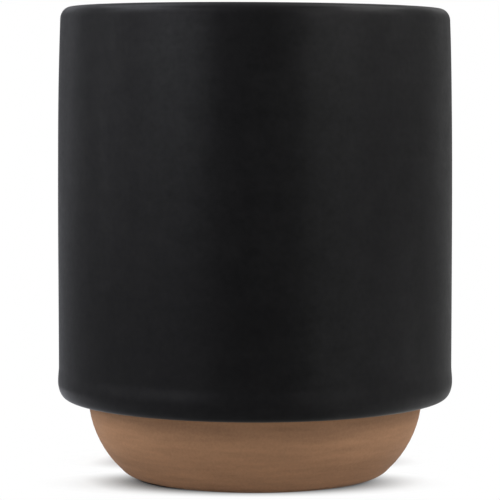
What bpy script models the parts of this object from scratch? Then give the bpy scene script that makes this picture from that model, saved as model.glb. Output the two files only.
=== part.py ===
"""Handleless stacking mug, turned about +Z and standing on the origin.

A fired clay body carries two fired-on coats: a matt glaze that covers the outside and
rolls over the rim, and a liner glaze inside. The foot is left as bare clay. It is
narrower than the mouth, so one mug stands in the rim of another. Lengths are in metres.
"""

import math

import bpy

# Outside form, measured on the finished glaze
MUG_HEIGHT = 0.0963  # table to the crest of the rim
LIP_RADIUS = 0.0410  # widest point of the mug
LIP_SWELL = 0.0002  # crest of the lip beyond the wall above it
LIP_RISE = 0.0019  # crest of the lip up to the plain wall
LIP_DROP = 0.0034  # crest of the lip down to the stacking face
LIP_UNDERCUT = 0.0005  # lower edge of the lip inside its crest
LIP_ROUND = 0.0018  # radius of the lip's lower edge
LIP_EASE = 0.0080  # radius that blends the crest into the wall
RIM_DRAW_IN = 0.0009  # rim inside the crest of the lip
RIM_ROUND = 0.0025  # height of the rounded top of the rim

# Wall, floor and coats
WALL = 0.0043  # wall with both coats on it
FLOOR = 0.0050  # floor with the liner on it
GLAZE = 0.0005  # thickness of either coat
BOND_GAP = 0.0003  # between a coat and the clay, and between the two coats
MOUTH_LAP = 0.0070  # crest of the rim down to where the liner takes over

# Foot of bare clay
FOOT_HEIGHT = 0.0162  # table to the stacking face under the lip
FOOT_DRAW_IN = 0.0084  # top of the foot to the outside of the foot ring
FOOT_ARC = 0.0234  # radius of the bowl-shaped side
FOOT_FILLET = 0.0008  # corner between the foot and the stacking face
STACK_CLEARANCE = 0.0008  # foot inside the mouth of the mug below
GLAZE_MARGIN = 0.0022  # bare clay between the foot and the edge of the glaze
RING_WIDTH = 0.0040
RING_ROUND = 0.0008
RECESS_DEPTH = 0.0015  # hollow inside the foot ring
RECESS_SLOPE = 0.0008  # how far the side of the hollow leans in
RECESS_ROUND = 0.0010

# Inside form, measured on the finished liner
CAVITY_INSET = 0.0006  # flat floor inside the outline of the foot ring
CAVITY_ROUND = 0.0070  # corner between the floor and the side
SHOULDER_ROUND = 0.0028  # edge of the step above the foot
STEP_ROUND = 0.0030  # corner between the step and the wall

# Fineness of the turned surfaces
TURN_STEPS = 48
RIM_STEPS = 8
WALL_STEPS = 5
FOOT_STEPS = 7
ARC_STEP = math.radians(24)  # largest turn between two points of a fillet
MERGE_DISTANCE = 0.00001
WALL_POWER = 4  # how late the wall starts to draw in towards the rim

# Looks
CLAY_COLOUR = (0.235, 0.125, 0.072, 1.0)
CLAY_ROUGHNESS = 0.85
GLAZE_COLOUR = (0.010, 0.010, 0.011, 1.0)
GLAZE_ROUGHNESS = 0.5
LINER_COLOUR = (0.012, 0.012, 0.013, 1.0)
LINER_ROUGHNESS = 0.3

# Sizes that follow from the driving ones
wall_base_radius = LIP_RADIUS - LIP_SWELL
rim_radius = LIP_RADIUS - RIM_DRAW_IN
lip_crest_height = FOOT_HEIGHT + LIP_DROP
wall_base_height = lip_crest_height + LIP_RISE
wall_top_height = MUG_HEIGHT - RIM_ROUND
mouth_radius = rim_radius - WALL
foot_radius = mouth_radius - STACK_CLEARANCE
ring_radius = foot_radius - FOOT_DRAW_IN
coat_depth = GLAZE + BOND_GAP
ledge_height = FOOT_HEIGHT + coat_depth
glaze_end_radius = foot_radius + GLAZE_MARGIN
floor_height = RECESS_DEPTH + FLOOR
shoulder_height = FOOT_HEIGHT + WALL
shoulder_radius = foot_radius - WALL
seam_height = MUG_HEIGHT - MOUTH_LAP
liner_end_height = seam_height - GLAZE - BOND_GAP


def wall_radius(height):
    """Outside of the wall: straight low down, drawn in a little towards the rim."""
    share = (height - wall_base_height) / (wall_top_height - wall_base_height)
    return wall_base_radius - (wall_base_radius - rim_radius) * share**WALL_POWER


def wall_points(start, end, inset):
    """Points up or down the wall, set in from its outside."""
    heights = [start + (end - start) * i / WALL_STEPS for i in range(WALL_STEPS + 1)]
    return [(wall_radius(height) - inset, height) for height in heights]


def ellipse_points(centre, half_width, half_height, start, end, steps):
    """Points on an arc of an ellipse, both ends included; angles are in radians."""
    angles = [start + (end - start) * i / steps for i in range(steps + 1)]
    return [
        (centre[0] + half_width * math.cos(a), centre[1] + half_height * math.sin(a))
        for a in angles
    ]


def fillet_points(before, corner, after, radius):
    """An arc that rounds one corner of a path, kept within half of each side."""
    side_in = (before[0] - corner[0], before[1] - corner[1])
    side_out = (after[0] - corner[0], after[1] - corner[1])
    length_in, length_out = math.hypot(*side_in), math.hypot(*side_out)
    way_in = (side_in[0] / length_in, side_in[1] / length_in)
    way_out = (side_out[0] / length_out, side_out[1] / length_out)
    between = math.acos(way_in[0] * way_out[0] + way_in[1] * way_out[1])
    turn = math.pi - between
    reach = min(radius * math.tan(turn / 2), length_in / 2, length_out / 2)
    radius = reach / math.tan(turn / 2)
    middle = (way_in[0] + way_out[0], way_in[1] + way_out[1])
    to_centre = radius / math.sin(between / 2) / math.hypot(*middle)
    centre = (corner[0] + middle[0] * to_centre, corner[1] + middle[1] * to_centre)
    first = (corner[0] + way_in[0] * reach, corner[1] + way_in[1] * reach)
    last = (corner[0] + way_out[0] * reach, corner[1] + way_out[1] * reach)
    start = math.atan2(first[1] - centre[1], first[0] - centre[0])
    end = math.atan2(last[1] - centre[1], last[0] - centre[0])
    sweep = (end - start + math.pi) % (2 * math.pi) - math.pi
    steps = max(1, math.ceil(abs(sweep) / ARC_STEP))
    return ellipse_points(centre, radius, radius, start, start + sweep, steps)


def rounded_path(corners):
    """A path through corners given as radius, height and fillet; the ends stay sharp."""
    path = [corners[0][:2]]
    for before, corner, after in zip(corners, corners[1:], corners[2:]):
        path += fillet_points(before, corner, after, corner[2])
    return path + [corners[-1][:2]]


def arc_between(start, end, radius, steps):
    """An arc from start to end that bulges away from the axis."""
    chord = (end[0] - start[0], end[1] - start[1])
    length = math.hypot(*chord)
    sagging = math.sqrt(radius**2 - (length / 2) ** 2)
    centre = (
        (start[0] + end[0]) / 2 + chord[1] / length * sagging,
        (start[1] + end[1]) / 2 - chord[0] / length * sagging,
    )
    first = math.atan2(start[1] - centre[1], start[0] - centre[0])
    last = math.atan2(end[1] - centre[1], end[0] - centre[0])
    return ellipse_points(centre, radius, radius, first, last, steps)


def sunk_path(path, depth):
    """The path moved into the clay, to the right of its run, by an even depth."""
    moved = []
    for i, point in enumerate(path):
        ways = []
        for a, b in ((i - 1, i), (i, i + 1)):
            if 0 <= a and b < len(path):
                run = (path[b][0] - path[a][0], path[b][1] - path[a][1])
                length = math.hypot(*run)
                ways.append((run[1] / length, -run[0] / length))
        normal = [sum(way[k] for way in ways) / len(ways) for k in (0, 1)]
        scale = depth / (normal[0] ** 2 + normal[1] ** 2)
        moved.append((point[0] + normal[0] * scale, point[1] + normal[1] * scale))
    return moved


def edge_round(start, end):
    """The rounded edge of a coat, from its shown face to its bond face."""
    run = ((end[0] - start[0]) / 2, (end[1] - start[1]) / 2)
    centre = (start[0] + run[0], start[1] + run[1])
    ahead = (-run[1], run[0])
    thirds = (math.pi / 3, 2 * math.pi / 3)
    return [
        (
            centre[0] - run[0] * math.cos(a) + ahead[0] * math.sin(a),
            centre[1] - run[1] * math.cos(a) + ahead[1] * math.sin(a),
        )
        for a in thirds
    ]


def liner_face():
    """Shown face of the liner, from the middle of the floor up to its seam."""
    cavity = rounded_path(
        [
            (0.0, floor_height),
            (ring_radius - CAVITY_INSET, floor_height, CAVITY_ROUND),
            (shoulder_radius, shoulder_height, SHOULDER_ROUND),
            (wall_base_radius - WALL, shoulder_height, STEP_ROUND),
            (wall_base_radius - WALL, wall_base_height + STEP_ROUND),
        ]
    )
    wall = wall_points(wall_base_height + STEP_ROUND, liner_end_height, WALL)
    return cavity[:-1] + wall


def coat_face():
    """Shown face of the outside coat, from its seam over the rim to under the lip."""
    mouth = (wall_radius(seam_height) - WALL, seam_height)
    rim = ellipse_points(
        (rim_radius - WALL / 2, wall_top_height), WALL / 2, RIM_ROUND, math.pi, 0.0, RIM_STEPS
    )
    wall = wall_points(wall_top_height, wall_base_height + LIP_RISE, 0.0)
    lip = rounded_path(
        [
            (*wall[-1], 0.0),
            (wall_base_radius, wall_base_height, LIP_EASE),
            (LIP_RADIUS, lip_crest_height, LIP_EASE),
            (LIP_RADIUS - LIP_UNDERCUT, FOOT_HEIGHT, LIP_ROUND),
            (glaze_end_radius, FOOT_HEIGHT),
        ]
    )
    return [mouth] + rim + wall[1:] + lip[1:]


def foot_path():
    """Bare clay from the stacking face down the foot to the middle of the base."""
    side = arc_between((foot_radius, ledge_height), (ring_radius, 0.0), FOOT_ARC, FOOT_STEPS)
    recess_radius = ring_radius - RING_WIDTH
    corner = fillet_points(
        (glaze_end_radius, ledge_height), side[0], side[1], FOOT_FILLET
    )
    base = rounded_path(
        [
            side[-2],
            (*side[-1], RING_ROUND),
            (recess_radius, 0.0, RING_ROUND),
            (recess_radius - RECESS_SLOPE, RECESS_DEPTH, RECESS_ROUND),
            (0.0, RECESS_DEPTH),
        ]
    )
    return corner + side[1:-2] + base


def turned(name, profile, closed, material, collection, parent):
    """A named object whose profile is spun about the axis of the mug."""
    count = len(profile)
    edges = [(i, (i + 1) % count) for i in range(count if closed else count - 1)]
    mesh = bpy.data.meshes.new(name)
    mesh.from_pydata([(radius, 0.0, height) for radius, height in profile], edges, [])
    mesh.materials.append(material)
    piece = bpy.data.objects.new(name, mesh)
    spin = piece.modifiers.new("spin", "SCREW")
    spin.axis = "Z"
    spin.angle = 2 * math.pi
    spin.steps = TURN_STEPS
    spin.render_steps = TURN_STEPS
    spin.use_merge_vertices = True
    spin.merge_threshold = MERGE_DISTANCE
    spin.use_smooth_shade = True
    piece.parent = parent
    collection.objects.link(piece)
    return piece


def finish(name, colour, roughness):
    """A plain material of one colour."""
    material = bpy.data.materials.new(name)
    material.use_nodes = True
    shader = material.node_tree.nodes["Principled BSDF"]
    shader.inputs["Base Color"].default_value = colour
    shader.inputs["Roughness"].default_value = roughness
    shader.inputs["Metallic"].default_value = 0.0
    material.diffuse_color = colour
    return material


def clay_body(collection, parent):
    """The fired body: cup, stacking lip and foot in one turned piece of clay."""
    under_coats = sunk_path(liner_face() + coat_face(), coat_depth)
    profile = under_coats + foot_path()
    clay = finish("bare_clay", CLAY_COLOUR, CLAY_ROUGHNESS)
    return turned("clay_body", profile, False, clay, collection, parent)


def outer_glaze(collection, parent):
    """The matt coat over the rim, the wall and the lip, a ring in section."""
    face = coat_face()
    bond = sunk_path(face, GLAZE)
    profile = face + edge_round(face[-1], bond[-1]) + bond[::-1] + edge_round(bond[0], face[0])
    glaze = finish("matt_glaze", GLAZE_COLOUR, GLAZE_ROUGHNESS)
    return turned("outer_glaze", profile, True, glaze, collection, parent)


def liner_glaze(collection, parent):
    """The coat that lines the inside, a thin cup."""
    face = liner_face()
    bond = sunk_path(face, GLAZE)
    profile = face + edge_round(face[-1], bond[-1]) + bond[::-1]
    liner = finish("liner_glaze", LINER_COLOUR, LINER_ROUGHNESS)
    return turned("liner_glaze", profile, False, liner, collection, parent)


def main():
    for old in list(bpy.data.objects):
        bpy.data.objects.remove(old)
    mug = bpy.data.collections.new("mug")
    bpy.context.scene.collection.children.link(mug)
    stand = bpy.data.objects.new("mug_origin", None)
    mug.objects.link(stand)
    clay_body(mug, stand)
    outer_glaze(mug, stand)
    liner_glaze(mug, stand)


main()
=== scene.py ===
# Stacking mug without a handle: matt black glaze over a turned clay body with a bare foot
import math

import bpy
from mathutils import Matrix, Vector, noise


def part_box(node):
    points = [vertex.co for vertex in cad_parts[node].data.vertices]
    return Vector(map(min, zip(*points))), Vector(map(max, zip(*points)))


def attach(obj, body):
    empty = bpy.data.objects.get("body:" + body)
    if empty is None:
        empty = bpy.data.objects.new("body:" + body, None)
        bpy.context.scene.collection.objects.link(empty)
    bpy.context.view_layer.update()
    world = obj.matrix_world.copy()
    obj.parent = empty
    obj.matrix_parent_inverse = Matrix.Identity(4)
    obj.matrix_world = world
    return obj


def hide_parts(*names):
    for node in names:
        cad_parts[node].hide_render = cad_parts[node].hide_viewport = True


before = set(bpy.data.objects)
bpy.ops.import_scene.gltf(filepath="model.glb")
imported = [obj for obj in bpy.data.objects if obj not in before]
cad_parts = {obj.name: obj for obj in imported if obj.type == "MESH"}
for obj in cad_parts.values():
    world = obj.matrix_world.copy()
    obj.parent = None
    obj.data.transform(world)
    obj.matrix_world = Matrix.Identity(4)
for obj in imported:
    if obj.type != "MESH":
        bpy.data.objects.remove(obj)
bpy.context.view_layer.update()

coatLow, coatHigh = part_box("outer_glaze")
linerLow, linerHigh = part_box("liner_glaze")
clayLow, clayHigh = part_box("clay_body")

# What the frame gives: the sizes that every piece below is worked out from
mugHeight = coatHigh[2]
flatRadius = (coatHigh[0] - coatLow[0]) / 2  # across the flats of the turned solid
stackFace = coatLow[2]  # underside of the lip
coatDepth = coatHigh[2] - clayHigh[2]  # glaze down to the clay
tableHeight = clayLow[2]


# Outlines, each a list of (radius, height) points

rounds = {
    "turn": 5.0,  # degrees between points, at most
    "share": 0.49,  # of a side, the most that the round at one end of it takes
    "beadSteps": 8,  # round the edge of a coat
}


def arcPoints(centre, wide, high, start, end, largestTurn=rounds["turn"]):
    count = max(2, math.ceil(abs(end - start) / math.radians(largestTurn)))
    angles = [start + (end - start) * i / count for i in range(count + 1)]
    return [(centre[0] + wide * math.cos(a), centre[1] + high * math.sin(a)) for a in angles]


def unit(a, b):  # direction from a to b, and how far it is
    length = math.hypot(b[0] - a[0], b[1] - a[1])
    return ((b[0] - a[0]) / length, (b[1] - a[1]) / length), length


def roundCorner(before, corner, after, radius, share=rounds["share"]):
    (wayIn, lengthIn), (wayOut, lengthOut) = unit(corner, before), unit(corner, after)
    half = math.acos(wayIn[0] * wayOut[0] + wayIn[1] * wayOut[1]) / 2
    reach = min(radius / math.tan(half), lengthIn * share, lengthOut * share)
    radius = reach * math.tan(half)
    middle = (wayIn[0] + wayOut[0], wayIn[1] + wayOut[1])
    away = radius / math.sin(half) / math.hypot(*middle)
    centre = (corner[0] + middle[0] * away, corner[1] + middle[1] * away)
    first = (corner[0] + wayIn[0] * reach - centre[0], corner[1] + wayIn[1] * reach - centre[1])
    last = (corner[0] + wayOut[0] * reach - centre[0], corner[1] + wayOut[1] * reach - centre[1])
    start, end = math.atan2(first[1], first[0]), math.atan2(last[1], last[0])
    sweep = (end - start + math.pi) % (2 * math.pi) - math.pi
    return arcPoints(centre, radius, radius, start, start + sweep)


def roundedPath(corners):  # (radius, height, round), with no round at the two ends
    path = [corners[0][:2]]
    for before, corner, after in zip(corners, corners[1:], corners[2:]):
        path += roundCorner(before, corner, after, corner[2])
    return path + [corners[-1][:2]]


def sunk(path, depth):  # the same outline, an even depth to the right of its run
    moved = []
    for i, point in enumerate(path):
        runs = [unit(path[k], path[k + 1])[0] for k in (i - 1, i) if 0 <= k < len(path) - 1]
        side = [sum(run[1] for run in runs) / len(runs), -sum(run[0] for run in runs) / len(runs)]
        scale = depth / (side[0] ** 2 + side[1] ** 2)
        moved.append((point[0] + side[0] * scale, point[1] + side[1] * scale))
    return moved


def edgeBead(start, end):  # half-round edge of a coat
    half = ((end[0] - start[0]) / 2, (end[1] - start[1]) / 2)
    middle = (start[0] + half[0], start[1] + half[1])
    bead = []
    for i in range(1, rounds["beadSteps"]):
        turn = math.pi * i / rounds["beadSteps"]
        along, out = math.cos(turn), math.sin(turn)
        bead.append((middle[0] - half[0] * along - half[1] * out,
                     middle[1] - half[1] * along + half[0] * out))
    return bead


def closeSteps(path, longest):  # more points along a path, none further apart than longest
    finer = [path[0]]
    for a, b in zip(path, path[1:]):
        count = max(1, math.ceil(unit(a, b)[1] / longest))
        finer += [(a[0] + (b[0] - a[0]) * i / count, a[1] + (b[1] - a[1]) * i / count)
                  for i in range(1, count + 1)]
    return finer


# Matt coat: over the rim, down the wall and round the lip

outside = {
    "thickness": 0.0043,  # of the whole wall, glaze and clay
    "rimInset": 0.0009,  # rim inside the crest of the lip
    "rimRise": 0.0024,  # height of the rounded rim
    "drawPower": 4,  # how late the wall draws in
    "wallPoints": 44,
    "lipProud": 0.00008,  # crest beyond the flats
    "lipSwell": 0.00019,  # crest beyond the wall above it
    "lipRise": 0.0034,  # from the crest up to the plain wall
    "lipDrop": 0.00325,  # from the crest down to the underside
    "lipInward": 0.00174,  # how far the round goes in on the way
    "lipLow": 0.00005,  # underside below the frame's stacking face
    "lipSteps": 16,  # up the swell
    "lipTurn": 3.0,  # degrees between points of the round
}

lipRadius = flatRadius + outside["lipProud"]
rimRadius = lipRadius - outside["rimInset"]
wallRadius = lipRadius - outside["lipSwell"]
wallTop = mugHeight - outside["rimRise"]
underFace = stackFace - outside["lipLow"]
lipCrest = underFace + outside["lipDrop"]
wallBase = lipCrest + outside["lipRise"]
mouthRadius = rimRadius - outside["thickness"]


def wallAt(height):  # radius of the outside
    share = max(0.0, (height - wallBase) / (wallTop - wallBase))
    return wallRadius - (wallRadius - rimRadius) * share ** outside["drawPower"]


def wallRun(start, end, inset):
    count = outside["wallPoints"]
    heights = [start + (end - start) * i / count for i in range(count + 1)]
    return [(wallAt(height) - inset, height) for height in heights]


def coatFace(mouthEnd, lipEnd):  # from inside the mouth, over the rim, down to under the lip
    half = outside["thickness"] / 2
    mouth = [(wallAt(mouthEnd) - outside["thickness"], mouthEnd)]

    # the rim's round sets off along the lean of the wall, so that no crease shows
    lean = (wallRadius - rimRadius) * outside["drawPower"] / (wallTop - wallBase)
    setOff = math.atan(lean * outside["rimRise"] / half)
    high = outside["rimRise"] / (1 - math.sin(setOff))
    middle = (rimRadius - half * math.cos(setOff), mugHeight - high)
    rim = arcPoints(middle, half, high, math.pi, setOff)

    side = wallRun(wallTop, wallBase, 0.0)
    swell = []
    for i in range(1, outside["lipSteps"] + 1):
        share = i / outside["lipSteps"]
        out = outside["lipSwell"] * (1 - math.cos(math.pi * share)) / 2
        swell.append((wallRadius + out, wallBase - outside["lipRise"] * share))
    inward = outside["lipInward"]
    under = arcPoints((lipRadius - inward, lipCrest), inward, outside["lipDrop"],
                      0.0, -math.pi / 2, outside["lipTurn"])
    return mouth + rim + side[1:] + swell + under[1:] + [(lipEnd, underFace)]


# Clay: the bare foot and the base

foot = {
    "clearance": 0.00103,  # foot inside the mouth of the mug below
    "drawIn": 0.00817,  # from the top of the foot in to the foot ring
    "arc": 0.0213,  # radius of the bowl-shaped side
    "underHeight": 0.0017,  # where the side starts to turn under
    "underRound": 0.0036,
    "underShare": 0.9,  # of a side, the most that this round takes
    "fillet": 0.0008,  # up to the lip
    "bareLedge": 0.0022,  # clay left bare beside the foot, under the lip
    "ringWidth": 0.0040,
    "ringRound": 0.0009,
    "recessSlope": 0.0008,
    "recessDepth": 0.0015,
    "recessRound": 0.0010,
    "toolDepth": 0.000012,  # turning marks left by the trimming tool
    "toolPitch": 0.0011,
    "markPoints": 4,  # outline points to each mark
    "markSeed": 3.7,
}

footRadius = mouthRadius - foot["clearance"]
ringRadius = footRadius - foot["drawIn"]
glazeEnd = footRadius + foot["bareLedge"]
ledge = underFace + coatDepth


def toolMarked(path):  # shallow, uneven turning marks along a trimmed face
    marked, run = [], 0.0
    for i, point in enumerate(path):
        before, after = path[max(i - 1, 0)], path[min(i + 1, len(path) - 1)]
        way = unit(before, after)[0]
        run += unit(path[i - 1], point)[1] if i else 0.0
        mark = noise.noise(Vector((run / foot["toolPitch"], foot["markSeed"], 0.0)))
        depth = foot["toolDepth"] * mark
        onAxis, onTable = point[0] == 0.0, point[1] < tableHeight + foot["toolDepth"]
        held = 0.0 if onAxis or onTable else 1.0
        marked.append((point[0] - way[1] * depth * held, point[1] + way[0] * depth * held))
    return marked


def footFace():  # bare clay from the glaze edge to the middle of the base
    top, bottom = (footRadius, ledge), (ringRadius, tableHeight)
    way, length = unit(top, bottom)
    sag = math.sqrt(foot["arc"] ** 2 - (length / 2) ** 2)
    centre = ((top[0] + bottom[0]) / 2 + way[1] * sag, (top[1] + bottom[1]) / 2 - way[0] * sag)
    start = math.atan2(top[1] - centre[1], top[0] - centre[0])
    end = math.asin((tableHeight + foot["underHeight"] - centre[1]) / foot["arc"])
    side = arcPoints(centre, foot["arc"], foot["arc"], start, end)  # down to the turn under
    corner = (side[-1][0] + foot["underHeight"] * math.tan(end), tableHeight)
    hollow = ringRadius - foot["ringWidth"]
    hollowTop = tableHeight + foot["recessDepth"]
    topFillet = roundCorner((glazeEnd, ledge), side[0], side[1], foot["fillet"])
    under = roundCorner(side[-1], corner, (hollow, tableHeight),
                        foot["underRound"], foot["underShare"])
    base = roundedPath([
        under[-1],
        (hollow, tableHeight, foot["ringRound"]),
        (hollow - foot["recessSlope"], hollowTop, foot["recessRound"]),
        (0.0, hollowTop),
    ])
    trimmed = topFillet + side[1:-1] + under[:-1] + base
    return toolMarked(closeSteps(trimmed, foot["toolPitch"] / foot["markPoints"]))


# Lining: the floor, the bowl of the foot, the step above it and the inside wall

inside = {
    "glaze": 0.0005,  # thickness on the floor
    "floorInset": 0.0006,  # corner of the floor inside the foot ring
    "floorRound": 0.0070,
    "shoulderRound": 0.0028,
    "stepRound": 0.0030,
    "seamGap": 0.00005,  # between the lining and the matt coat
}

floorTop = linerLow[2] + inside["glaze"]
shoulderTop = stackFace + outside["thickness"]
seam = linerHigh[2] + inside["seamGap"]


def linerFace():  # from the middle of the floor up to the seam
    straight = wallBase + inside["stepRound"]
    cavity = roundedPath([
        (0.0, floorTop),
        (ringRadius - inside["floorInset"], floorTop, inside["floorRound"]),
        (footRadius - outside["thickness"], shoulderTop, inside["shoulderRound"]),
        (wallRadius - outside["thickness"], shoulderTop, inside["stepRound"]),
        (wallRadius - outside["thickness"], straight),
    ])
    return cavity[:-1] + wallRun(straight, seam - inside["seamGap"], outside["thickness"])


print("sizes: height %.4f, lip radius %.4f, foot radius %.4f" % (mugHeight, lipRadius, footRadius))


# Nodes, for the lathe and for the materials

noiseMiddle = 0.5  # a noise texture runs from 0 to 1, round this


def wire(tree, value, socket):
    if isinstance(value, bpy.types.NodeSocket):
        tree.links.new(value, socket)
    else:
        socket.default_value = value


def calc(tree, operation, *values):
    node = tree.nodes.new("ShaderNodeMath")
    node.operation = operation
    for value, socket in zip(values, node.inputs):
        wire(tree, value, socket)
    return node.outputs[0]


def combine(tree, x, y, z):
    node = tree.nodes.new("ShaderNodeCombineXYZ")
    for value, socket in zip((x, y, z), node.inputs):
        wire(tree, value, socket)
    return node.outputs[0]


# Geometry Nodes: turns an outline about the mug's axis, with the kiln's slight warp

turning = {
    "steps": 208,
    "warpDepth": 0.00005,  # slight out-of-round from the kiln
    "warpScale": 1.3,
    "warpRise": 3.0,  # how much the warp changes from the table to the rim
    "warpDetail": 1.0,
    "stillCore": 0.01,  # radius from which the warp is in full, with none at the axis
    "runOut": 0.00021,  # one side of the rim a little lower
    "leanPower": 3.0,  # how late that lean sets in
    "seed": 11.0,
    "weld": 0.000001,  # points closer than this become one
    "crease": 40.0,  # degrees, past which an edge stays crisp
}


def latheTree():
    tree = bpy.data.node_groups.new("turnedOnTheWheel", "GeometryNodeTree")
    face = tree.interface
    face.new_socket("Outline", in_out="INPUT", socket_type="NodeSocketGeometry")
    face.new_socket("Turn Steps", in_out="INPUT", socket_type="NodeSocketInt")
    for name in ("Warp Depth", "Warp Scale", "Warp Rise", "Warp Detail", "Still Core", "Run Out",
                 "Lean Power", "Mug Height", "Seed", "Weld", "Crease"):
        face.new_socket(name, in_out="INPUT", socket_type="NodeSocketFloat")
    face.new_socket("Finish", in_out="INPUT", socket_type="NodeSocketMaterial")
    face.new_socket("Piece", in_out="OUTPUT", socket_type="NodeSocketGeometry")
    given = tree.nodes.new("NodeGroupInput").outputs
    size = tree.nodes.new("GeometryNodeAttributeDomainSize")
    tree.links.new(given["Outline"], size.inputs[0])
    rows = size.outputs["Point Count"]

    # one column of the grid for each step of the turn, one row for each outline point
    grid = tree.nodes.new("GeometryNodeMeshGrid")
    wire(tree, calc(tree, "ADD", given["Turn Steps"], 1.0), grid.inputs["Vertices X"])
    tree.links.new(rows, grid.inputs["Vertices Y"])
    index = tree.nodes.new("GeometryNodeInputIndex").outputs[0]
    midway = calc(tree, "ADD", index, 0.5)  # half a place on, so that no division falls short
    column = calc(tree, "FLOOR", calc(tree, "DIVIDE", midway, rows))
    row = calc(tree, "SUBTRACT", index, calc(tree, "MULTIPLY", column, rows))
    place = tree.nodes.new("GeometryNodeSampleIndex")
    place.data_type = "FLOAT_VECTOR"
    tree.links.new(given["Outline"], place.inputs["Geometry"])
    tree.links.new(tree.nodes.new("GeometryNodeInputPosition").outputs[0], place.inputs["Value"])
    tree.links.new(row, place.inputs["Index"])
    point = tree.nodes.new("ShaderNodeSeparateXYZ")
    tree.links.new(place.outputs[0], point.inputs[0])
    radius, height = point.outputs["X"], point.outputs["Z"]
    angle = calc(tree, "MULTIPLY", calc(tree, "DIVIDE", column, given["Turn Steps"]), 2 * math.pi)
    east, north = calc(tree, "COSINE", angle), calc(tree, "SINE", angle)

    # the warp depends on the direction and the height alone, so all coats move together
    share = calc(tree, "DIVIDE", height, given["Mug Height"])
    rise = calc(tree, "MULTIPLY", share, given["Warp Rise"])
    ripple = tree.nodes.new("ShaderNodeTexNoise")
    ripple.noise_dimensions = "4D"
    for value, name in ((combine(tree, east, north, rise), "Vector"), (given["Seed"], "W"),
                        (given["Warp Scale"], "Scale"), (given["Warp Detail"], "Detail")):
        tree.links.new(value, ripple.inputs[name])
    swing = calc(tree, "SUBTRACT", ripple.outputs[0], noiseMiddle)
    swing = calc(tree, "DIVIDE", swing, noiseMiddle)  # from -1 to 1
    hold = calc(tree, "MINIMUM", calc(tree, "DIVIDE", radius, given["Still Core"]), 1.0)
    shift = calc(tree, "MULTIPLY", calc(tree, "MULTIPLY", swing, given["Warp Depth"]), hold)
    warped = calc(tree, "ADD", radius, shift)
    late = calc(tree, "POWER", share, given["Lean Power"])
    lean = calc(tree, "MULTIPLY", calc(tree, "MULTIPLY", east, given["Run Out"]), late)
    lifted = calc(tree, "SUBTRACT", height, calc(tree, "MULTIPLY", lean, hold))
    across, along = calc(tree, "MULTIPLY", warped, east), calc(tree, "MULTIPLY", warped, north)

    turned = tree.nodes.new("GeometryNodeSetPosition")
    tree.links.new(grid.outputs["Mesh"], turned.inputs["Geometry"])
    tree.links.new(combine(tree, across, along, lifted), turned.inputs["Position"])
    merge = tree.nodes.new("GeometryNodeMergeByDistance")
    tree.links.new(given["Weld"], merge.inputs["Distance"])
    smooth = tree.nodes.new("GeometryNodeSetShadeSmooth")
    crisp = tree.nodes.new("GeometryNodeSetShadeSmooth")
    crisp.domain = "EDGE"
    crisp.inputs["Shade Smooth"].default_value = False
    bend = tree.nodes.new("GeometryNodeInputMeshEdgeAngle").outputs["Unsigned Angle"]
    tree.links.new(calc(tree, "GREATER_THAN", bend, given["Crease"]), crisp.inputs["Selection"])
    whole = tree.nodes.new("GeometryNodeRealizeInstances")
    finish = tree.nodes.new("GeometryNodeSetMaterial")
    tree.links.new(given["Finish"], finish.inputs["Material"])
    done = tree.nodes.new("NodeGroupOutput")
    chain = [turned, merge, smooth, crisp, whole, finish]
    for a, b in zip(chain, chain[1:] + [done]):
        tree.links.new(a.outputs[0], b.inputs[0])
    return tree


def turnPiece(name, outline, material, tree):
    mesh = bpy.data.meshes.new(name)
    links = [(i, i + 1) for i in range(len(outline) - 1)]
    mesh.from_pydata([(radius, 0.0, height) for radius, height in outline], links, [])
    piece = bpy.data.objects.new(name, mesh)
    bpy.context.scene.collection.objects.link(piece)
    lathe = piece.modifiers.new("lathe", "NODES")
    lathe.node_group = tree
    values = {
        "Turn Steps": turning["steps"], "Warp Depth": turning["warpDepth"],
        "Warp Scale": turning["warpScale"], "Warp Rise": turning["warpRise"],
        "Warp Detail": turning["warpDetail"], "Still Core": turning["stillCore"],
        "Run Out": turning["runOut"], "Lean Power": turning["leanPower"],
        "Mug Height": mugHeight, "Seed": turning["seed"], "Weld": turning["weld"],
        "Crease": math.radians(turning["crease"]), "Finish": material,
    }
    for socket in tree.interface.items_tree:
        if socket.in_out == "INPUT" and socket.name in values:
            lathe[socket.identifier] = values[socket.name]
    seen = piece.evaluated_get(bpy.context.evaluated_depsgraph_get())
    turned = bpy.data.meshes.new_from_object(seen)
    piece.modifiers.remove(lathe)
    piece.data = turned
    bpy.data.meshes.remove(mesh)
    turned.name = name
    print("turned %s: %d faces" % (name, len(turned.polygons)))
    return piece


# Materials

grainDetail = {"grain": 2.0, "clouds": 4.0, "lines": 2.0}  # of each noise in the fired surface


def mixColour(tree, mask, first, second):
    node = tree.nodes.new("ShaderNodeMix")
    node.data_type = "RGBA"
    # the node's sockets for colours come after those for numbers and vectors
    for value, place in ((mask, 0), (first, 6), (second, 7)):
        wire(tree, value, node.inputs[place])
    return node.outputs[2]


def spread(tree, value, low, high):  # 0 to 1 turned into low to high
    node = tree.nodes.new("ShaderNodeMapRange")
    node.inputs["To Min"].default_value = low
    node.inputs["To Max"].default_value = high
    tree.links.new(value, node.inputs["Value"])
    return node.outputs[0]


def noiseOf(tree, vector, scale, detail):
    node = tree.nodes.new("ShaderNodeTexNoise")
    wire(tree, scale, node.inputs["Scale"])
    node.inputs["Detail"].default_value = detail
    tree.links.new(vector, node.inputs["Vector"])
    return node.outputs[0]


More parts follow.
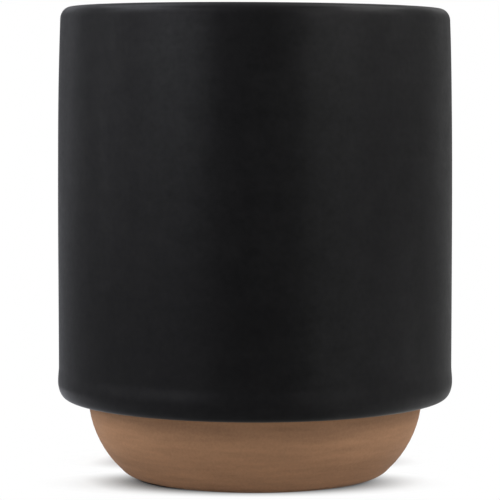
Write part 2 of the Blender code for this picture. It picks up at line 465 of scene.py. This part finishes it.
def firedGrainGroup():  # grain, clouds and turning lines, for any fired surface
    tree = bpy.data.node_groups.new("firedGrain", "ShaderNodeTree")
    face = tree.interface
    face.new_socket("Vector", in_out="INPUT", socket_type="NodeSocketVector")
    for name in ("Grain Scale", "Cloud Scale", "Cloud Length", "Line Scale", "Line Length"):
        face.new_socket(name, in_out="INPUT", socket_type="NodeSocketFloat")
    for name in ("Grain", "Clouds", "Lines", "Height"):
        face.new_socket(name, in_out="OUTPUT", socket_type="NodeSocketFloat")
    given = tree.nodes.new("NodeGroupInput").outputs
    made = tree.nodes.new("NodeGroupOutput").inputs
    grain = noiseOf(tree, given["Vector"], given["Grain Scale"], grainDetail["grain"])
    spot = tree.nodes.new("ShaderNodeSeparateXYZ")
    tree.links.new(given["Vector"], spot.inputs[0])
    east, north = spot.outputs["X"], spot.outputs["Y"]
    upright = calc(tree, "MULTIPLY", spot.outputs["Z"], given["Cloud Length"])
    where = combine(tree, east, north, upright)
    clouds = noiseOf(tree, where, given["Cloud Scale"], grainDetail["clouds"])

    # lines run round the axis: fine across the turned face, long around it
    radius = calc(tree, "SQRT", calc(tree, "ADD", calc(tree, "MULTIPLY", east, east),
                                     calc(tree, "MULTIPLY", north, north)))
    slow = calc(tree, "DIVIDE", 1.0, given["Line Length"])
    track = combine(tree, radius, spot.outputs["Z"], calc(tree, "MULTIPLY", east, slow))
    lines = noiseOf(tree, track, given["Line Scale"], grainDetail["lines"])
    lines.node.noise_dimensions = "4D"
    tree.links.new(calc(tree, "MULTIPLY", north, slow), lines.node.inputs["W"])

    height = calc(tree, "MULTIPLY", calc(tree, "ADD", grain, lines), 0.5)  # the mean of the two
    for name, value in (("Grain", grain), ("Clouds", clouds), ("Lines", lines), ("Height", height)):
        tree.links.new(value, made[name])
    return tree


def placeGrain(tree, group, look):
    node = tree.nodes.new("ShaderNodeGroup")
    node.node_tree = group
    where = tree.nodes.new("ShaderNodeTexCoord").outputs["Object"]
    tree.links.new(where, node.inputs["Vector"])
    for name, key in (("Grain Scale", "grain"), ("Cloud Scale", "clouds"),
                      ("Cloud Length", "cloudLength"), ("Line Scale", "lines"),
                      ("Line Length", "lineLength")):
        node.inputs[name].default_value = look[key]
    return node.outputs


def addBump(tree, shader, height, look):
    bump = tree.nodes.new("ShaderNodeBump")
    bump.inputs["Strength"].default_value = look["bump"]
    bump.inputs["Distance"].default_value = look["bumpDepth"]
    tree.links.new(height, bump.inputs["Height"])
    tree.links.new(bump.outputs[0], shader.inputs["Normal"])


def blendTone(tree, grain, look):  # one tone from the shares of grain, clouds and lines
    tone = calc(tree, "MULTIPLY", grain["Grain"], look["grainShare"])
    tone = calc(tree, "MULTIPLY_ADD", grain["Clouds"], look["cloudShare"], tone)
    tone = calc(tree, "MULTIPLY_ADD", grain["Lines"], look["lineShare"], tone)
    return spread(tree, tone, noiseMiddle - look["contrast"], noiseMiddle + look["contrast"])


def paintedLightBands(tree, tone, grain, look):  # painted light: paler bands round the foot, by height, where the light falls on it
    spot = tree.nodes.new("ShaderNodeSeparateXYZ")
    tree.links.new(tree.nodes.new("ShaderNodeTexCoord").outputs["Object"], spot.inputs[0])
    uneven = calc(tree, "SUBTRACT", grain["Clouds"], noiseMiddle)
    wander = calc(tree, "MULTIPLY", uneven, look["beltWander"])
    height = calc(tree, "ADD", spot.outputs["Z"], wander)
    for paintedBand in look["paintedBands"]:
        # each band lightens the clay tone near its height: painted light
        off = calc(tree, "ABSOLUTE", calc(tree, "SUBTRACT", height, paintedBand["height"]))
        paintedLift = spread(tree, calc(tree, "DIVIDE", off, paintedBand["reach"]), paintedBand["tone"], 0.0)
        paintedLift.node.interpolation_type = "SMOOTHSTEP"
        tone = calc(tree, "ADD", tone, paintedLift)
    return tone


def firedMaterial(name, look, group):
    material = bpy.data.materials.new(name)
    material.use_nodes = True
    tree = material.node_tree
    shader = tree.nodes["Principled BSDF"]
    shader.inputs["Specular IOR Level"].default_value = look["specular"]
    grain = placeGrain(tree, group, look)
    tone = blendTone(tree, grain, look)
    # painted light: paler bands on the bare clay that stand in for how the light falls
    if "paintedBands" in look:
        tone = paintedLightBands(tree, tone, grain, look)
    tree.links.new(mixColour(tree, tone, look["dark"], look["light"]), shader.inputs["Base Color"])
    rough = spread(tree, tone, look["roughest"], look["smoothest"])
    tree.links.new(rough, shader.inputs["Roughness"])
    addBump(tree, shader, grain["Height"], look)
    return material


glazeLook = {
    "dark": (0.0023, 0.0023, 0.0025, 1.0), "light": (0.0074, 0.0073, 0.0076, 1.0),
    "smoothest": 0.28, "roughest": 0.37, "specular": 0.10,
    "grain": 950.0, "clouds": 260.0, "cloudLength": 1.0, "lines": 700.0, "lineLength": 9.0,
    "grainShare": 0.45, "cloudShare": 0.4, "lineShare": 0.15, "contrast": 1.2,
    "bumpDepth": 0.00002, "bump": 0.1,
}
linerLook = dict(glazeLook, smoothest=0.2, roughest=0.3, specular=0.4, bump=0.07)
clayLook = {
    "dark": (0.132, 0.0675, 0.0333, 1.0), "light": (0.277, 0.144, 0.072, 1.0),
    "smoothest": 0.72, "roughest": 0.9, "specular": 0.3,
    "grain": 2000.0, "clouds": 50.0, "cloudLength": 6.0, "lines": 1000.0, "lineLength": 8.0,
    "grainShare": 0.30, "cloudShare": 0.36, "lineShare": 0.34, "contrast": 0.80,
    "paintedBands": ({"tone": 0.17, "height": 0.0101, "reach": 0.0050},  # painted light: the lit band across the middle of the foot
              {"tone": 0.38, "height": 0.0160, "reach": 0.0030}),  # painted light lifting the shade under the lip, with a pale line along the glaze edge
    "beltWander": 0.002,
    "bumpDepth": 0.00004, "bump": 0.35,
}

grainGroup = firedGrainGroup()
glaze = firedMaterial("mattBlackGlaze", glazeLook, grainGroup)
liner = firedMaterial("satinLinerGlaze", linerLook, grainGroup)
clay = firedMaterial("bareFiredClay", clayLook, grainGroup)
print("materials made")


# The three pieces, each fused to the next

lathe = latheTree()
coat, lining, bare = coatFace(seam, glazeEnd), linerFace(), footFace()
coatBack, liningBack = sunk(coat, coatDepth), sunk(lining, coatDepth)
coatOutline = coat + edgeBead(coat[-1], coatBack[-1]) + coatBack[::-1] + coat[:1]
liningOutline = lining + liningBack[::-1]
clayOutline = sunk(lining + coat, coatDepth) + bare

for name, outline, material, node, slotName in (
    ("matt_coat", coatOutline, glaze, "outer_glaze", "matt_glaze"),
    ("lining", liningOutline, liner, "liner_glaze", "liner_glaze"),
    ("clay", clayOutline, clay, "clay_body", "bare_clay"),
):
    piece = turnPiece(name, outline, material, lathe)
    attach(piece, "root")
    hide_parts(node)


# Floor, light and camera

white = (1.0, 1.0, 1.0, 1.0)


def around(azimuth, distance, height):  # a place seen from above: 0 degrees is the camera's side
    turn = math.radians(azimuth)
    return distance * math.sin(turn), -distance * math.cos(turn), height


def seenRays(tree):  # 1 for what the camera sees, straight or in a reflection
    path = tree.nodes.new("ShaderNodeLightPath").outputs
    shiny = calc(tree, "MAXIMUM", path["Is Glossy Ray"], path["Is Transmission Ray"])
    return calc(tree, "MAXIMUM", path["Is Camera Ray"], shiny)


def stagePiece(name, corners, faces, material):  # a flat sheet that isn't part of the mug
    mesh = bpy.data.meshes.new(name)
    mesh.from_pydata(corners, [], faces)
    mesh.materials.append(material)
    flat = bpy.data.objects.new(name, mesh)
    bpy.context.scene.collection.objects.link(flat)
    return flat


def flatRing(turn, reach, height, steps):  # part of a flat ring round the mug, facing up
    turns = [turn[0] + (turn[1] - turn[0]) * i / steps for i in range(steps + 1)]
    corners = [around(angle, distance, height) for distance in reach for angle in turns]
    outer = steps + 1
    return corners, [(i, outer + i, outer + i + 1, i + 1) for i in range(steps)]


floorLook = {
    "radius": 1.5,
    "edges": 96,
    "colour": (0.92, 0.92, 0.92, 1.0),
    "hole": 0.0242,  # open under the foot ring, so that the base can be seen from below
    "seen": (0.967, 0.988, 0.998, 1.0),  # the camera's floor, white where it is lit
    "contactShade": (0.0, 0.0, 0.0, 1.0),  # painted shadow, darker on the floor where the foot all but touches
    "contactShadeReach": 0.008,
    "whiteFrom": 0.0186,  # beyond the shadow the camera's floor turns plain white
    "whiteAt": 0.0441,
    "aside": (0.0024, 0.0, 0.0),  # the shadow reaches further to the left
    "middle": (0.0, 0.0143, 0.0),  # of the shadow, to the front and to the back
    "stretch": (1.0, 2.56, 1.0),  # sooner white to the front and back than to the sides
}


def pastShadow(tree):  # 0 in the shadow, 1 where the floor is plain white
    away = tree.nodes.new("ShaderNodeTexCoord").outputs["Object"]
    for operation, value in (
        ("ADD", floorLook["aside"]),
        ("ABSOLUTE", None),
        ("SUBTRACT", floorLook["middle"]),
        ("MULTIPLY", floorLook["stretch"]),
        ("LENGTH", None),
    ):
        step = tree.nodes.new("ShaderNodeVectorMath")
        step.operation = operation
        if value:
            step.inputs[1].default_value = value
        tree.links.new(away, step.inputs[0])
        away = step.outputs["Value" if operation == "LENGTH" else "Vector"]
    fade = spread(tree, away, 0.0, 1.0)
    fade.node.interpolation_type = "SMOOTHSTEP"
    fade.node.inputs["From Min"].default_value = floorLook["whiteFrom"]
    fade.node.inputs["From Max"].default_value = floorLook["whiteAt"]
    return fade


def floorMaterial():
    material = bpy.data.materials.new("paleFloor")
    material.use_nodes = True
    tree = material.node_tree
    tree.nodes.clear()
    seenFrom = seenRays(tree)
    # painted shadow: the camera's floor darkens towards black close to the foot
    paintedShade = tree.nodes.new("ShaderNodeAmbientOcclusion")
    paintedShade.inputs["Distance"].default_value = floorLook["contactShadeReach"]
    seen = mixColour(tree, paintedShade.outputs["AO"], floorLook["contactShade"], floorLook["seen"])
    matt = tree.nodes.new("ShaderNodeBsdfDiffuse")
    tree.links.new(mixColour(tree, seenFrom, floorLook["colour"], seen), matt.inputs["Color"])
    plain = tree.nodes.new("ShaderNodeEmission")
    plainHere = calc(tree, "MULTIPLY", pastShadow(tree), seenFrom)
    clear = tree.nodes.new("ShaderNodeBsdfTransparent")  # seen from below, the floor is open
    underside = tree.nodes.new("ShaderNodeNewGeometry").outputs["Backfacing"]
    last = matt.outputs[0]
    for mask, shader in ((plainHere, plain), (underside, clear)):
        both = tree.nodes.new("ShaderNodeMixShader")
        tree.links.new(mask, both.inputs[0])
        tree.links.new(last, both.inputs[1])
        tree.links.new(shader.outputs[0], both.inputs[2])
        last = both.outputs[0]
    out = tree.nodes.new("ShaderNodeOutputMaterial")
    tree.links.new(last, out.inputs["Surface"])
    return material


def makeFloor():
    reach = (floorLook["hole"], floorLook["radius"])
    corners, faces = flatRing((0.0, 360.0), reach, tableHeight, floorLook["edges"])
    stagePiece("floor", corners, faces, floorMaterial())


# Lamps give the soft light alone: turn in degrees from the camera's side, place and size in
# metres, power in watts
lamps = {
    "leftBox": {"turn": -80.0, "distance": 0.89, "height": 0.5, "size": (1.1, 0.6), "power": 12.5},
    "rightBox": {"turn": 80.0, "distance": 0.89, "height": 0.5, "size": (1.1, 0.6), "power": 12.5},
    "frontBox": {"turn": 0.0, "distance": 0.72, "height": 0.74, "size": (0.9, 0.5), "power": 0.8},
    "backBox": {"turn": 180.0, "distance": 0.82, "height": 0.62, "size": (0.9, 0.5), "power": 6.9},
}


def makeLamps():
    middle = Vector((0.0, 0.0, mugHeight / 2))
    for name, lamp in lamps.items():
        data = bpy.data.lights.new(name, "AREA")
        data.shape = "RECTANGLE"
        data.size, data.size_y = lamp["size"]
        data.energy = lamp["power"]
        box = bpy.data.objects.new(name, data)
        box.location = around(lamp["turn"], lamp["distance"], lamp["height"])
        box.rotation_euler = (middle - box.location).to_track_quat("-Z", "Y").to_euler()
        box.visible_camera = False
        box.visible_glossy = False
        bpy.context.scene.collection.objects.link(box)


# A tent of cards that only the gloss shows, each on the left and on the right: turn in degrees
# from the camera's side, place in metres, and glow on the two sides
cards = {
    "front": {"turn": (0.0, 28.0), "height": (0.0, 1.4), "glow": (0.39, 0.39)},
    "low": {"turn": (28.0, 62.0), "height": (0.0, 0.1), "glow": (0.68, 0.09)},
    "strip": {"turn": (28.0, 62.0), "height": (0.1, 0.25), "glow": (4.4, 2.7)},
    "panel": {"turn": (28.0, 62.0), "height": (0.25, 0.5), "glow": (1.9, 3.0)},
    "panelTop": {"turn": (28.0, 62.0), "height": (0.5, 1.4), "glow": (2.8, 2.15)},
    "wingLow": {"turn": (62.0, 100.0), "height": (0.0, 0.1), "glow": (1.55, 0.02)},
    "wing": {"turn": (62.0, 100.0), "height": (0.1, 0.5), "glow": (1.5, 1.4)},
    "wingTop": {"turn": (62.0, 100.0), "height": (0.5, 0.85), "glow": (2.8, 2.65)},
    "kicker": {"turn": (62.0, 100.0), "height": (0.85, 1.4), "glow": (6.2, 5.2)},
    "side": {"turn": (100.0, 140.0), "height": (0.0, 0.3), "glow": (0.59, 0.45)},
    "sideMid": {"turn": (100.0, 146.0), "height": (0.3, 0.85), "glow": (0.59, 0.45)},
    "sideTop": {"turn": (100.0, 140.0), "height": (0.85, 1.4), "glow": (3.15, 3.15)},
    "corner": {"turn": (140.0, 164.0), "height": (0.0, 0.3), "glow": (0.28, 0.28)},
    "cornerMid": {"turn": (146.0, 164.0), "height": (0.3, 0.85), "glow": (0.65, 0.68)},
    "back": {"turn": (164.0, 180.0), "height": (0.0, 0.85), "glow": (0.28, 0.28)},
    "backTop": {"turn": (140.0, 180.0), "height": (0.85, 1.4), "glow": (0.5, 0.5)},
    "ceilingFront": {"turn": (0.0, 90.0), "reach": (0.02, 1.0), "lift": 1.4, "glow": (0.8, 0.65)},
    "ceilingMid": {"turn": (90.0, 150.0), "reach": (0.02, 0.55), "lift": 1.4, "glow": (1.3, 2.0)},
    "ceilingSide": {"turn": (90.0, 150.0), "reach": (0.55, 1.0), "lift": 1.4, "glow": (4.2, 4.0)},
    "ceilingBack": {"turn": (150.0, 180.0), "reach": (0.02, 1.0), "lift": 1.4, "glow": (0.8, 0.8)},
    "nearFront": {"turn": (0.0, 28.0), "reach": (0.036, 0.12), "lift": 0.001, "glow": (0.5, 0.5)},
    "nearSide": {"turn": (28.0, 100.0), "reach": (0.036, 0.12), "lift": 0.001, "glow": (0.75, 0.95)},
    "nearBack": {"turn": (100.0, 180.0), "reach": (0.036, 0.12), "lift": 0.001, "glow": (0.8, 0.5)},
    "tableFront": {"turn": (0.0, 28.0), "reach": (0.12, 1.0), "lift": 0.001, "glow": (0.06, 0.06)},
    "tableSide": {"turn": (28.0, 100.0), "reach": (0.12, 1.0), "lift": 0.001, "glow": (0.28, 0.93)},
    "tableBack": {"turn": (100.0, 180.0), "reach": (0.12, 1.0), "lift": 0.001, "glow": (0.36, 0.36)},
}
room = {
    "fill": 0.12,  # light from all round
    "tints": ((0.98, 0.995, 1.07, 1.0), white),  # of the cards on the left and right
    "cardReach": 1.0,  # of the standing cards from the mug's axis
    "cardSteps": 24,  # round the edge of a lying card
}
sides = (("Left", -1.0), ("Right", 1.0))  # with the way that a card there is turned


def makeWorld():
    world = bpy.data.worlds.new("whiteStudio")
    world.use_nodes = True
    tree = world.node_tree
    tree.nodes.clear()
    sky = tree.nodes.new("ShaderNodeBackground")
    sky.inputs["Color"].default_value = white
    tree.links.new(spread(tree, seenRays(tree), room["fill"], 1.0), sky.inputs["Strength"])
    out = tree.nodes.new("ShaderNodeOutputWorld")
    tree.links.new(sky.outputs[0], out.inputs["Surface"])
    bpy.context.scene.world = world


def cardMaterial(name, glow, tint):
    material = bpy.data.materials.new(name)
    material.use_nodes = True
    tree = material.node_tree
    tree.nodes.clear()
    light = tree.nodes.new("ShaderNodeEmission")
    light.inputs["Color"].default_value = tint
    light.inputs["Strength"].default_value = glow
    out = tree.nodes.new("ShaderNodeOutputMaterial")
    tree.links.new(light.outputs[0], out.inputs["Surface"])
    return material


def makeCards():
    for name, card in cards.items():
        for (side, way), glow, tint in zip(sides, card["glow"], room["tints"]):
            turn = [way * angle for angle in card["turn"]]
            if "reach" in card:  # lying flat, curved round the mug
                lift = tableHeight + card["lift"]
                corners, faces = flatRing(turn, card["reach"], lift, room["cardSteps"])
            else:
                low, high = card["height"]
                corners = [around(angle, room["cardReach"], low) for angle in turn]
                corners += [around(angle, room["cardReach"], high) for angle in turn[::-1]]
                faces = [(0, 1, 2, 3)]
            flat = stagePiece(name + side, corners, faces, cardMaterial(name + side, glow, tint))
            flat.visible_camera = flat.visible_diffuse = False
            flat.visible_shadow = flat.visible_transmission = False


view = {
    "distance": 0.4640,  # camera to the mug's axis
    "height": 0.0813,
    "sideways": -0.00105,
    "tilt": 4.309,  # degrees down from level
    "lens": 161.15,
    "sensor": 36.0,
    "nearest": 0.01,
    "farthest": 20.0,
}


def makeCamera():
    data = bpy.data.cameras.new("camera")
    data.lens, data.sensor_width = view["lens"], view["sensor"]
    data.clip_start, data.clip_end = view["nearest"], view["farthest"]
    camera = bpy.data.objects.new("camera", data)
    camera.location = (view["sideways"], -view["distance"], tableHeight + view["height"])
    camera.rotation_euler = (math.radians(90.0 - view["tilt"]), 0.0, 0.0)  # 90 looks level
    bpy.context.scene.collection.objects.link(camera)
    bpy.context.scene.camera = camera


makeFloor()
makeWorld()
makeLamps()
makeCards()
makeCamera()
bpy.context.scene.view_settings.view_transform = "Standard"
print("floor, lamps and camera placed")
